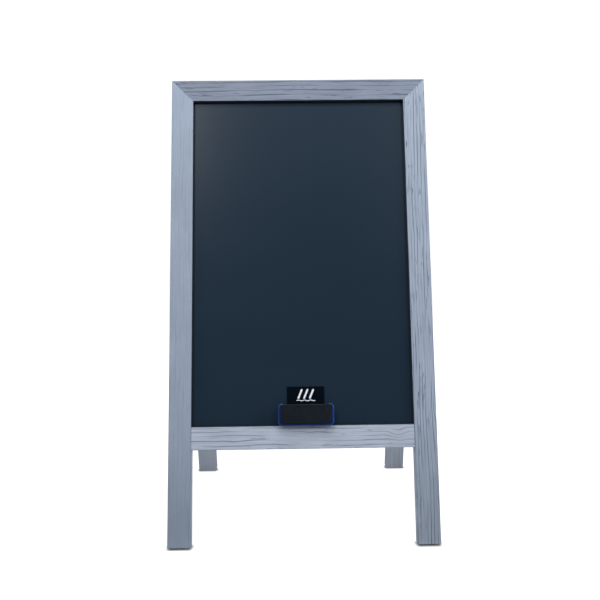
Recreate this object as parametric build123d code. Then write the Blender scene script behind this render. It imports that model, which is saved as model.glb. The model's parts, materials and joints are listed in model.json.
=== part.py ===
from build123d import *
import os
from math import cos, radians, sin, sqrt

# A wooden A-frame sandwich board: two leaning frames joined by butt hinges along
# the top, each holding a painted steel chalkboard, with webbing straps that stop
# the spread, and a magnetic eraser that pins a card to the front board.
#
# Millimetres, +Z up. The origin is on the floor under the middle of the board.
# The front faces -Y, and +X is to the right of someone who reads the front.
#
# Each frame is drawn flat, as on a bench: x across, u up the stiles from the foot
# end, n outwards from the inner face. A plane then leans it into place.

os.makedirs("parts", exist_ok=True)

# ---------------------------------------------------------------- overall sizes
board_width = 510.0
frame_length = 910.0
spread_angle = 24.0
closed_gap = 6.0

# ---------------------------------------------------------------- timber
timber_thickness = 19.0
stile_width = 43.5
top_rail_width = 43.5
bottom_rail_width = 43.5
leg_below_rail = 177.0
arris_radius = 1.0
foot_corner_radius = 2.5
glue_line = 0.2

# ---------------------------------------------------------------- joints in the timber
dowel_radius = 4.0
dowel_length = 40.0
dowel_inset = 8.25
glued_clearance = 0.05
vnail_leg = 7.0
vnail_sheet = 0.6
vnail_depth = 10.0
vnail_inset = 0.5
vnails_per_mitre = 2

# ---------------------------------------------------------------- chalkboards
board_recess = 8.0
sheet_thickness = 0.5
sheet_reveal = 1.5
backer_thickness = 3.2
rabbet_width = 8.0
backer_clearance = 0.5
point_length = 14.0
point_grip = 7.0
point_width = 10.0
point_thickness = 0.6
point_clearance = 0.1
points_per_stile = 3
points_per_rail = 2

# ---------------------------------------------------------------- hinges
hinge_inset = 81.5
hinge_length = 50.0
leaf_width = 15.0
leaf_thickness = 1.2
barrel_radius = 2.75
pin_radius = 1.5
pin_head_radius = 2.2
pin_head_height = 0.8
knuckle_count = 5
knuckle_gap = 0.3
fixed_clearance = 0.01
running_clearance = 0.05
leaf_clearance = 0.4
hinge_screw_pitch = 17.0
hinge_screw_stagger = 3.0

# ---------------------------------------------------------------- spread straps
strap_inset = 61.5
strap_width = 20.0
strap_thickness = 1.2
strap_clearance = 0.2
strap_below_rail_top = 16.0
strap_screw_drop = 12.0
strap_tail = 9.0
strap_bend_radius = 3.0

# ---------------------------------------------------------------- screws
screw_clearance = 0.1
hinge_screw_radius = 1.5
hinge_screw_length = 16.0
hinge_screw_head_radius = 2.7
strap_screw_radius = 1.75
strap_screw_length = 15.0
strap_screw_head_radius = 4.5
strap_screw_head_height = 1.2
screw_point = 3.0
screw_tip_radius = 0.3
recess_length = 3.4
recess_width = 0.6
recess_depth = 0.7

# ---------------------------------------------------------------- eraser and card
accessory_x = 6.2
rest_clearance = 0.3
eraser_width = 106.0
eraser_height = 41.5
eraser_shell_depth = 16.0
eraser_corner_radius = 8.0
eraser_back_radius = 2.5
felt_depth = 8.0
felt_seat = 2.0
felt_side_margin = 4.0
felt_bottom_margin = 4.5
felt_top_margin = 1.5
felt_corner_radius = 3.0
felt_clearance = 0.1
grip_radius = 7.0
grip_depth = 1.8
magnet_radius = 6.0
magnet_depth = 3.0
magnet_pitch = 60.0
card_width = 72.0
card_height = 73.0
card_thickness = 0.6
card_corner_radius = 1.5
card_clearance = 0.15

# ---------------------------------------------------------------- worked-out places
lean = radians(spread_angle / 2)
half_width = board_width / 2
rail_top = leg_below_rail + bottom_rail_width
dowel_pitch = bottom_rail_width - rabbet_width - 2 * dowel_inset
opening_half = half_width - stile_width
opening_top = frame_length - top_rail_width
sheet_face = timber_thickness - board_recess
sheet_back = sheet_face - sheet_thickness
backer_back = sheet_back - backer_thickness
pin_u = frame_length + barrel_radius
pin_n = -closed_gap / 2
leaf_start = pin_n + barrel_radius + leaf_clearance
foot_y = pin_u * sin(lean) - pin_n * cos(lean)
hinge_x = opening_half - hinge_inset
strap_x = opening_half - strap_inset

front_plane = Plane(origin=(0, -foot_y, 0), x_dir=(1, 0, 0), z_dir=(0, -cos(lean), sin(lean)))
rear_plane = Plane(origin=(0, foot_y, 0), x_dir=(-1, 0, 0), z_dir=(0, cos(lean), sin(lean)))
SIDE_NAMES = {"front": {-1: "left", 1: "right"}, "rear": {-1: "right", 1: "left"}}


# ---------------------------------------------------------------- helpers
def block(x_span, u_span, n_span):
    """A rectangular solid between a low and a high value each way."""
    spans = (x_span, u_span, n_span)
    size = [high - low for low, high in spans]
    middle = [(high + low) / 2 for low, high in spans]
    return Pos(*middle) * Box(*size)


def rod(radius, length, centre, along):
    """A round bar with its middle at a point, along X, Y or Z."""
    turn = {"X": Rot(0, 90, 0), "Y": Rot(90, 0, 0), "Z": Rot(0, 0, 0)}[along]
    return Pos(*centre) * turn * Cylinder(radius, length)


def slab(corners, n_span):
    """A plate of any straight-sided outline, drawn in x and u."""
    low, high = n_span
    return Pos(0, 0, low) * extrude(make_face(Polyline(*corners, close=True)), high - low)


def save(name, solids, plane=None):
    """Lean the solids into place and write them as one node."""
    if plane is not None:
        solids = [plane.location * solid for solid in solids]
    node = solids[0] if len(solids) == 1 else Compound(solids)
    export_step(node, f"parts/{name}.step")
    print(f"{name}: {len(solids)} solid(s)")


# ---------------------------------------------------------------- timber of one frame
def stile_blank(side):
    """A stile with eased arrises, rounded foot corners and a mitred top."""
    outer = side * half_width
    inner = side * opening_half
    mitre_drop = glue_line / sqrt(2)
    bar = block(sorted((inner, outer)), (-1, frame_length + 1), (0, timber_thickness))
    bar = fillet(bar.edges().filter_by(Axis.Y), arris_radius)
    outline = make_face(Polyline(
        (outer, 0),
        (outer, frame_length - mitre_drop),
        (inner, opening_top - mitre_drop),
        (inner, 0),
        close=True,
    ))
    outline = fillet(outline.vertices().group_by(Axis.Y)[0], foot_corner_radius)
    return bar & extrude(outline, timber_thickness)


def top_rail_blank():
    """The top rail, mitred at both ends."""
    mitre_shift = glue_line / sqrt(2)
    bar = block((-half_width, half_width), (opening_top, frame_length), (0, timber_thickness))
    bar = fillet(bar.edges().filter_by(Axis.X), arris_radius)
    long_end = half_width - mitre_shift
    short_end = opening_half - mitre_shift
    corners = [
        (-long_end, frame_length),
        (long_end, frame_length),
        (short_end, opening_top),
        (-short_end, opening_top),
    ]
    return bar & slab(corners, (0, timber_thickness))


def bottom_rail_blank():
    """The bottom rail, which butts between the stiles."""
    half = opening_half - glue_line / 2
    bar = block((-half, half), (leg_below_rail, rail_top), (0, timber_thickness))
    return fillet(bar.edges().filter_by(Axis.X), arris_radius)


def board_pocket():
    """The rabbet round the opening that the board drops into from behind."""
    reach = opening_half + rabbet_width
    return block((-reach, reach), (rail_top - rabbet_width, opening_top + rabbet_width), (-1, sheet_back))


def dowels(clearance=0.0):
    """Two dowels across each joint between a stile and the bottom rail."""
    return [
        rod(dowel_radius + clearance, dowel_length + 2 * clearance,
            (side * opening_half, leg_below_rail + dowel_inset + row * dowel_pitch, timber_thickness / 2), "X")
        for side in (-1, 1)
        for row in (0, 1)
    ]


def vnails(clearance=0.0):
    """V-shaped nails driven into the back of each mitre, astride the glue line."""
    sheet = vnail_sheet / 2 + clearance
    leg = vnail_leg / sqrt(2) + clearance
    tip = sheet * sqrt(2)
    vee = [(0, -tip), (leg + sheet, leg - sheet), (leg - sheet, leg + sheet), (0, tip)]
    outline = vee + [(-x, u) for x, u in vee[2:0:-1]]
    nail = slab(outline, (vnail_inset - clearance, vnail_inset + vnail_depth + clearance))
    first = rabbet_width + vnail_leg
    step = (stile_width - first) / (vnails_per_mitre + 1)
    placed = []
    for side in (-1, 1):
        for row in range(vnails_per_mitre):
            out = first + (row + 0.5) * step
            place = Pos(side * (opening_half + out), opening_top + out * top_rail_width / stile_width, 0)
            placed.append(place * Rot(0, 0, -side * 45) * nail)
    return placed


def retaining_points(clearance=0.0):
    """Flat steel points pushed into the rabbet wall to hold the board in."""
    front = backer_back - point_clearance + clearance
    back = backer_back - point_clearance - point_thickness - clearance
    half = point_width / 2 + clearance
    reach = point_grip + clearance
    wall_x = opening_half + rabbet_width
    wall_low = rail_top - rabbet_width
    wall_high = opening_top + rabbet_width
    points = []
    for row in range(points_per_stile):
        u = rail_top + (row + 0.5) * (opening_top - rail_top) / points_per_stile
        for side in (-1, 1):
            x_span = sorted((side * (wall_x + reach), side * (wall_x + point_grip - point_length)))
            points.append(block(x_span, (u - half, u + half), (back, front)))
    for row in range(points_per_rail):
        x = -opening_half + (row + 0.5) * 2 * opening_half / points_per_rail
        low = (wall_low - reach, wall_low - point_grip + point_length)
        high = (wall_high + point_grip - point_length, wall_high + reach)
        for u_span in (low, high):
            points.append(block((x - half, x + half), u_span, (back, front)))
    return points


# ---------------------------------------------------------------- hinges
def leaf(centre_x, knuckles, bore_clearance):
    """One hinge leaf on the top edge, with its share of the knuckles."""
    plate = block(
        (centre_x - hinge_length / 2, centre_x + hinge_length / 2),
        (frame_length, frame_length + leaf_thickness),
        (leaf_start, leaf_start + leaf_width),
    )
    pitch = hinge_length / knuckle_count
    for index in knuckles:
        low = centre_x - hinge_length / 2 + index * pitch + knuckle_gap / 2
        high = low + pitch - knuckle_gap
        tongue = block((low, high), (frame_length, frame_length + leaf_thickness), (pin_n, leaf_start))
        plate = plate + tongue + rod(barrel_radius, high - low, ((low + high) / 2, pin_u, pin_n), "X")
    plate -= rod(pin_radius + bore_clearance, hinge_length + 2, (centre_x, pin_u, pin_n), "X")
    for place in leaf_screw_places(centre_x):
        plate -= place * countersink()
    return plate


def hinge_pin(centre_x):
    """A pin with a small head at each end of the barrel."""
    pin = rod(pin_radius, hinge_length, (centre_x, pin_u, pin_n), "X")
    for side in (-1, 1):
        head_x = centre_x + side * (hinge_length + pin_head_height) / 2
        pin += rod(pin_head_radius, pin_head_height, (head_x, pin_u, pin_n), "X")
    return pin


def leaf_screw_places(centre_x):
    """Three screws in a shallow zigzag, with their heads up along u."""
    middle = leaf_start + leaf_width / 2
    return [
        Pos(centre_x + step * hinge_screw_pitch, frame_length + leaf_thickness,
            middle + (0.5 - abs(step)) * hinge_screw_stagger) * Rot(-90, 0, 0)
        for step in (-1, 0, 1)
    ]


# ---------------------------------------------------------------- screws, head up along +Z
def cross_recess():
    """The cross that a screwdriver turns."""
    bar = Box(recess_length, recess_width, 2 * recess_depth)
    return bar + Rot(0, 0, 90) * bar


def countersunk_screw():
    """A wood screw whose head is a cone, with its face at the origin."""
    straight = hinge_screw_length - leaf_thickness - screw_point
    screw = Pos(0, 0, -leaf_thickness / 2) * Cone(hinge_screw_radius, hinge_screw_head_radius, leaf_thickness)
    screw += Pos(0, 0, -leaf_thickness - straight / 2) * Cylinder(hinge_screw_radius, straight)
    screw += Pos(0, 0, -hinge_screw_length + screw_point / 2) * Cone(
        screw_tip_radius, hinge_screw_radius, screw_point)
    return screw - cross_recess()


def countersink():
    """The tapered hole in a leaf for a countersunk screw."""
    return Pos(0, 0, -leaf_thickness / 2) * Cone(
        hinge_screw_radius + screw_clearance, hinge_screw_head_radius + screw_clearance, leaf_thickness)


def washer_head_screw():
    """A wood screw with a low, wide, domed head, whose underside is at the origin."""
    head = Pos(0, 0, strap_screw_head_height / 2) * Cylinder(strap_screw_head_radius, strap_screw_head_height)
    head = fillet(head.edges().group_by(Axis.Z)[-1], strap_screw_head_height * 0.8)
    straight = strap_screw_length - screw_point
    screw = head + Pos(0, 0, -straight / 2) * Cylinder(strap_screw_radius, straight)
    screw += Pos(0, 0, -strap_screw_length + screw_point / 2) * Cone(
        screw_tip_radius, strap_screw_radius, screw_point)
    return screw - Pos(0, 0, strap_screw_head_height) * cross_recess()


# ---------------------------------------------------------------- straps
strap_turn_u = rail_top - strap_below_rail_top
strap_screw_u = strap_turn_u - strap_screw_drop
strap_middle_n = -strap_clearance - strap_thickness / 2


def strap_screw_places():
    """On the inner face of the bottom rail, with the head on the strap."""
    head_n = -2 * strap_clearance - strap_thickness
    return [Pos(side * strap_x, strap_screw_u, head_n) * Rot(180, 0, 0) for side in (-1, 1)]


def strap():
    """Webbing pulled taut between the two bottom rails, with each end turned down."""
    tail_end = front_plane.from_local_coords((0, strap_screw_u - strap_tail, strap_middle_n))
    turn = front_plane.from_local_coords((0, strap_turn_u, strap_middle_n))
    route = FilletPolyline(
        (tail_end.Y, tail_end.Z),
        (turn.Y, turn.Z),
        (-turn.Y, turn.Z),
        (-tail_end.Y, tail_end.Z),
        radius=strap_bend_radius,
    )
    band = extrude(Plane.YZ * trace(route, strap_thickness), strap_width / 2, both=True)
    hole = rod(strap_screw_radius + rest_clearance, 10, (0, strap_screw_u, strap_middle_n), "Z")
    for plane in (front_plane, rear_plane):
        band -= plane.location * hole
    return band


# ---------------------------------------------------------------- eraser and card
ledge = rail_top + rest_clearance
card_back = sheet_face + card_clearance
eraser_back = card_back + card_thickness + 2 * card_clearance
eraser_front = eraser_back + eraser_shell_depth
felt_width = eraser_width - 2 * felt_side_margin
felt_height = eraser_height - felt_bottom_margin - felt_top_margin
felt_u = ledge + felt_bottom_margin + felt_height / 2


def rounded_plate(width, height, radius, centre, n_span):
    """A plate with rounded corners, centred at an x and u."""
    low, high = n_span
    return Pos(centre[0], centre[1], low) * extrude(RectangleRounded(width, height, radius), high - low)


def magnets(clearance=0.0):
    """Two round magnets let into the back of the eraser."""
    u = ledge + eraser_height / 2
    return [
        rod(magnet_radius + clearance, magnet_depth,
            (accessory_x + side * magnet_pitch / 2, u, eraser_back + magnet_depth / 2), "Z")
        for side in (-1, 1)
    ]


def felt_pad(clearance=0.0):
    """The wiping pad, seated a little way into the shell."""
    centre = (accessory_x, felt_u)
    n_span = (eraser_front - felt_seat - clearance, eraser_front - felt_seat + felt_depth)
    return rounded_plate(
        felt_width + 2 * clearance, felt_height + 2 * clearance, felt_corner_radius + clearance, centre, n_span)


def eraser_shell():
    """A moulded grip with a finger groove along its top and bottom."""
    centre = (accessory_x, ledge + eraser_height / 2)
    shell = rounded_plate(
        eraser_width, eraser_height, eraser_corner_radius, centre, (eraser_back, eraser_front))
    shell = fillet(shell.edges().group_by(Axis.Z)[0], eraser_back_radius)
    for side in (-1, 1):
        u = centre[1] + side * (eraser_height / 2 - grip_depth + grip_radius)
        shell -= rod(grip_radius, eraser_width - 2 * eraser_corner_radius,
                     (accessory_x, u, (eraser_back + eraser_front) / 2), "X")
    shell -= felt_pad(felt_clearance)
    for pocket in magnets(screw_clearance):
        shell -= pocket
    return shell


def card():
    """A printed card that stands on the ledge behind the eraser."""
    centre = (accessory_x, ledge + card_height / 2)
    return rounded_plate(
        card_width, card_height, card_corner_radius, centre, (card_back, card_back + card_thickness))


# ---------------------------------------------------------------- build both frames
def build_frame(name, plane, knuckles, bore_clearance):
    """Cut, name and write every piece of one frame."""
    pocket = board_pocket()
    fixings = dowels(glued_clearance) + vnails(glued_clearance) + retaining_points(glued_clearance)
    pilot_holes = []
    for side in (-1, 1):
        for place in leaf_screw_places(side * hinge_x):
            pilot = Pos(0, 0, -hinge_screw_length / 2) * Cylinder(
                hinge_screw_radius + fixed_clearance, hinge_screw_length + 1)
            pilot_holes.append(place * pilot)
    for place in strap_screw_places():
        pilot = Pos(0, 0, -strap_screw_length / 2) * Cylinder(
            strap_screw_radius + fixed_clearance, strap_screw_length + 1)
        pilot_holes.append(place * pilot)

    timbers = {
        f"{name}_{SIDE_NAMES[name][-1]}_stile": stile_blank(-1),
        f"{name}_{SIDE_NAMES[name][1]}_stile": stile_blank(1),
        f"{name}_top_rail": top_rail_blank(),
        f"{name}_bottom_rail": bottom_rail_blank(),
    }
    for node, timber in timbers.items():
        timber -= pocket
        for cut in fixings + pilot_holes:
            if timber.bounding_box().overlaps(cut.bounding_box()):
                timber -= cut
        save(node, timber.solids(), plane)

    save(f"{name}_dowels", dowels(), plane)
    save(f"{name}_mitre_nails", vnails(), plane)
    save(f"{name}_retaining_points", retaining_points(), plane)

    edge = opening_half + rabbet_width - backer_clearance
    u_span = (rail_top - rabbet_width + backer_clearance, opening_top + rabbet_width - backer_clearance)
    save(f"{name}_backer_panel", [block((-edge, edge), u_span, (backer_back, sheet_back))], plane)
    edge = opening_half - sheet_reveal
    u_span = (rail_top + sheet_reveal, opening_top - sheet_reveal)
    save(f"{name}_chalkboard", [block((-edge, edge), u_span, (sheet_back, sheet_face))], plane)

    for side in (-1, 1):
        node = f"{SIDE_NAMES[name][side]}_hinge_{name}_leaf"
        save(node, [leaf(side * hinge_x, knuckles, bore_clearance)], plane)
    hinge_screws = [
        place * countersunk_screw()
        for side in (-1, 1)
        for place in leaf_screw_places(side * hinge_x)
    ]
    save(f"{name}_hinge_screws", hinge_screws, plane)
    save(f"{name}_strap_screws", [place * washer_head_screw() for place in strap_screw_places()], plane)


build_frame("front", front_plane, range(0, knuckle_count, 2), fixed_clearance)
build_frame("rear", rear_plane, range(1, knuckle_count, 2), running_clearance)

for hinge_side in (-1, 1):
    side_name = SIDE_NAMES["front"][hinge_side]
    save(f"{side_name}_hinge_pin", [hinge_pin(hinge_side * hinge_x)], front_plane)
    save(f"{side_name}_spread_strap", [Pos(hinge_side * strap_x, 0, 0) * strap()])

save("eraser_shell", [eraser_shell()], front_plane)
save("eraser_felt", [felt_pad()], front_plane)
save("eraser_magnets", magnets(), front_plane)
save("printed_card", [card()], front_plane)
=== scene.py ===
# %% [markdown]
# # A washed pine sandwich board
# Two leaning frames of blue-washed pine meet at a pair of butt hinges. Each frame holds a painted
# steel chalkboard, two webbing straps stop the spread, and a magnetic eraser pins a card to the front.
# The CAD model comes in first as a fixed frame. Every piece made here rides on one of its bodies, so
# the looks can be rich while the mechanism stays exactly as it was.

# %% Load the imported CAD model
import json
from math import atan2, cos, degrees, exp, pi, radians, sin, tan

import bmesh
import bpy
from mathutils import Matrix, Vector, noise


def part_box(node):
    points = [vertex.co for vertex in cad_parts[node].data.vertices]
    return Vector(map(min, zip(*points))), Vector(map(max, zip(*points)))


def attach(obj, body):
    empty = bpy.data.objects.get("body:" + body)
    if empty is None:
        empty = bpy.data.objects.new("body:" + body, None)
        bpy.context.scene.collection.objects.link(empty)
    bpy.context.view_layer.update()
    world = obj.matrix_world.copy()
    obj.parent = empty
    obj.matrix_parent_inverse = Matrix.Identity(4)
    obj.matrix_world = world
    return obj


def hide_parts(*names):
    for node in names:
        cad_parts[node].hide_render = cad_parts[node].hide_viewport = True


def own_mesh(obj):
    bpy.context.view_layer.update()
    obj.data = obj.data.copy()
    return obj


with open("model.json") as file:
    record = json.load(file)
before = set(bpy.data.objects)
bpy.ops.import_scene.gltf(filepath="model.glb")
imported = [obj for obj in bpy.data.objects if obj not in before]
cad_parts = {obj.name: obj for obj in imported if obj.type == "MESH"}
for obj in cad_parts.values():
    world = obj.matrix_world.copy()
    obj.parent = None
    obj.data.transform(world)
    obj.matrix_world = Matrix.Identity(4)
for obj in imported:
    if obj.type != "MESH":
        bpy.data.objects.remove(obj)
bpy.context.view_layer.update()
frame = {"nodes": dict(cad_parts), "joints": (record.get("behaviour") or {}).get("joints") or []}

# %% [markdown]
# ## The bench drawing
# Each frame was drawn flat, as on a bench: x across, u up from the foot and n outwards from the inner
# face. The two leaning planes are found again here from the fold joint and the boxes of the nodes, so
# that timber, straps and finishes can all be laid out in millimetres along the grain.

# %% Find the leaning planes again
MM = 0.001
TIMBER = 19.0
fold = next(joint for joint in frame["joints"] if joint["name"] == "fold")
lean = radians(fold["range_deg"][1]) / 2
foot_y = -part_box("front_left_stile")[0].y - TIMBER * MM * cos(lean)
PLACES = {
    "front": {"shift": (0.0, -foot_y, 0.0), "turn": (pi / 2 - lean, 0.0, 0.0)},
    "rear": {"shift": (0.0, foot_y, 0.0), "turn": (pi / 2 - lean, 0.0, pi)},
}


def bench_to_room(side):
    """The matrix from flat millimetres (x, u, n) to the room in metres, for one frame."""
    place = PLACES[side]
    tilt = Matrix.Rotation(place["turn"][2], 4, "Z") @ Matrix.Rotation(place["turn"][0], 4, "X")
    return Matrix.Translation(place["shift"]) @ tilt @ Matrix.Scale(MM, 4)


def flat_box(node, side):
    """A node's lowest and highest corner in flat millimetres."""
    back = bench_to_room(side).inverted()
    points = [back @ vertex.co for vertex in frame["nodes"][node].data.vertices]
    low = [min(p[axis] for p in points) for axis in range(3)]
    high = [max(p[axis] for p in points) for axis in range(3)]
    return low, high


print("lean", round(degrees(lean), 2), "degrees, inner foot line at", round(foot_y / MM, 2), "mm")

# %% [markdown]
# ## The camera
# It stands at about two thirds of the board's height, a little over a metre in front of it, and looks
# down by five degrees. That slight drop lets the rear feet show above the front ones. The lens is a
# normal one, with no shift and no blur.

# %% Stand the camera
LENS_MM = 37.36
YAW, PITCH, ROLL = radians(0.70), radians(5.34), radians(0.63)
STAND = Vector((-17.0, -1320.6, 567.2)) * MM

ahead = Vector((sin(YAW) * cos(PITCH), cos(YAW) * cos(PITCH), -sin(PITCH)))
level_right = Vector((cos(YAW), -sin(YAW), 0.0))
level_down = ahead.cross(level_right)
right = cos(ROLL) * level_right + sin(ROLL) * level_down
down = -sin(ROLL) * level_right + cos(ROLL) * level_down

camera_data = bpy.data.cameras.new("studio_camera")
camera_data.lens = LENS_MM
camera_data.sensor_width = 36.0
camera = bpy.data.objects.new("studio_camera", camera_data)
camera.matrix_world = Matrix.Translation(STAND) @ Matrix((right, -down, -ahead)).transposed().to_4x4()
bpy.context.scene.collection.objects.link(camera)
bpy.context.scene.camera = camera
print("camera at", [round(value, 3) for value in STAND])

# %% [markdown]
# ## Helpers for finishes
# Colours are written as sRGB hex, the way a paint chart gives them, and one function turns them into
# the linear values that shaders use. One small function adds any node with its settings and links. A
# number that is the same all over a surface goes straight on the shader's own socket. Patterns that
# have to follow a leaning frame start from its flat millimetres, so one helper turns them back.

# %% Colour and node helpers
def linear(hex_colour):
    """sRGB hex to linear red, green, blue and alpha."""
    parts = [int(hex_colour[i:i + 2], 16) / 255 for i in (0, 2, 4)]
    return [c / 12.92 if c <= 0.04045 else ((c + 0.055) / 1.055) ** 2.4 for c in parts] + [1.0]


def add(tree, kind, inputs, output=0, **settings):
    """Add one node with its settings and links, and give back one of its outputs."""
    node = tree.nodes.new("ShaderNode" + kind)
    for name, value in settings.items():
        setattr(node, name, value)
    for name, value in inputs.items():
        if isinstance(value, bpy.types.NodeSocket):
            tree.links.new(value, node.inputs[name])
        else:
            node.inputs[name].default_value = value
    return node.outputs[output]


def start_finish(name, **sockets):
    """A new material with its constant sockets set: gives the material, its tree and its shader."""
    finish = bpy.data.materials.new(name)
    finish.use_nodes = True
    shader = finish.node_tree.nodes["Principled BSDF"]
    for socket, value in sockets.items():
        shader.inputs[socket.replace("_", " ")].default_value = value
    return finish, finish.node_tree, shader


def plug(tree, shader, **sources):
    """Join pattern outputs to the shader's sockets."""
    for socket, source in sources.items():
        tree.links.new(source, shader.inputs[socket.replace("_", " ")])


def cells(size_mm):
    """The scale that makes a pattern's cells this many millimetres across, for places in metres."""
    return 1.0 / (size_mm * MM)


def bench_place(tree, side):
    """The place of each point in one frame's flat millimetres, for patterns that follow the bench."""
    place = PLACES[side]
    return add(tree, "Mapping", {"Vector": add(tree, "TexCoord", {}, "Object"), "Location": place["shift"],
                                 "Rotation": place["turn"], "Scale": (MM, MM, MM)}, vector_type="TEXTURE")


def outward(side):
    """The way a frame's outer face looks."""
    return 0.0, -cos(lean) if side == "front" else cos(lean), sin(lean)


print("0x9FADC3 in linear light:", [round(c, 3) for c in linear("9FADC3")[:3]])

# %% [markdown]
# ## Blue-washed pine
# The frames are softwood planed to 19 mm, wire-brushed so that the hard summer growth stands proud,
# and wiped with a thin blue-grey wash. The wash lies pale on the soft wood, and the ridges and open
# pores show through darker. A picture of wood would repeat and stretch round corners, so the timber
# is solid here: growth rings are cylinders round a pith that lies outside the board, and every face
# cuts through them. Where the pith is far away the lines run straight, and where it is close they
# open into flames. Near an old branch the lines dip together, and that swirl is made by pushing the
# rings sideways there.

# %% What each member of the frame was sawn from
# pith is (across, depth) in mm from the member's own middle; ring (the mean year), sway
# and ripple are in mm. lines and fine say how strongly the year lines and the fibres show. A swirl is
# (along, across, reach along, reach across, dip) in mm: the lines dip by that much there.
MEMBERS = {
    "left_stile": dict(along="u", pith=(-150, -60), ring=6.5, sway=4, ripple=0.5, lines=0.3,
                       fine=0.5, wash="909DB0", grain="647288", seed=3.1, swirls=[]),
    "right_stile": dict(along="u", pith=(75, -22), ring=5.6, sway=3.5, ripple=0.3, lines=0.95,
                        fine=0.9, wash="95A2B4", grain="4C596F", seed=11.7,
                        swirls=[(437, 256, 26, 9, 5), (402, 258, 14, 8, 4), (250, 257, 20, 9, 5),
                                (95, 257, 42, 10, 6), (640, 258, 22, 8, 3)]),
    "top_rail": dict(along="x", pith=(-78, -48), ring=7.4, sway=2.2, ripple=0.45, lines=1.0,
                     fine=0.9, wash="768092", grain="404D5F", seed=23.4, swirls=[(-160, 872, 18, 8, 2)]),
    "bottom_rail": dict(along="x", pith=(-52, -42), ring=5.4, sway=3, ripple=0.5, lines=0.75,
                        fine=0.9, wash="ACB6C7", grain="5C6B84", seed=31.9,
                        swirls=[(181, 203, 17, 13, 6.5), (11, 203, 14, 8, 1.6), (-120, 190, 24, 8, 2)]),
}
# The rear frame was wiped more evenly, so its lines are weaker and it has no swirls. Its wash is paler
# than the front's as painted light, for the floor's glow on the rear legs.
REAR_WASH_AND_PAINTED_LIGHT = {"left_stile": "A0AABB", "right_stile": "A0AABB", "top_rail": "98A4B6", "bottom_rail": "A4AFC0"}
stile_low, stile_high = flat_box("front_left_stile", "front")
half_member = (stile_high[0] - stile_low[0]) / 2
opening_low, opening_high = flat_box("front_chalkboard", "front")
REVEAL = 2.0
print("members are", round(2 * half_member, 2), "mm wide")


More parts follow.
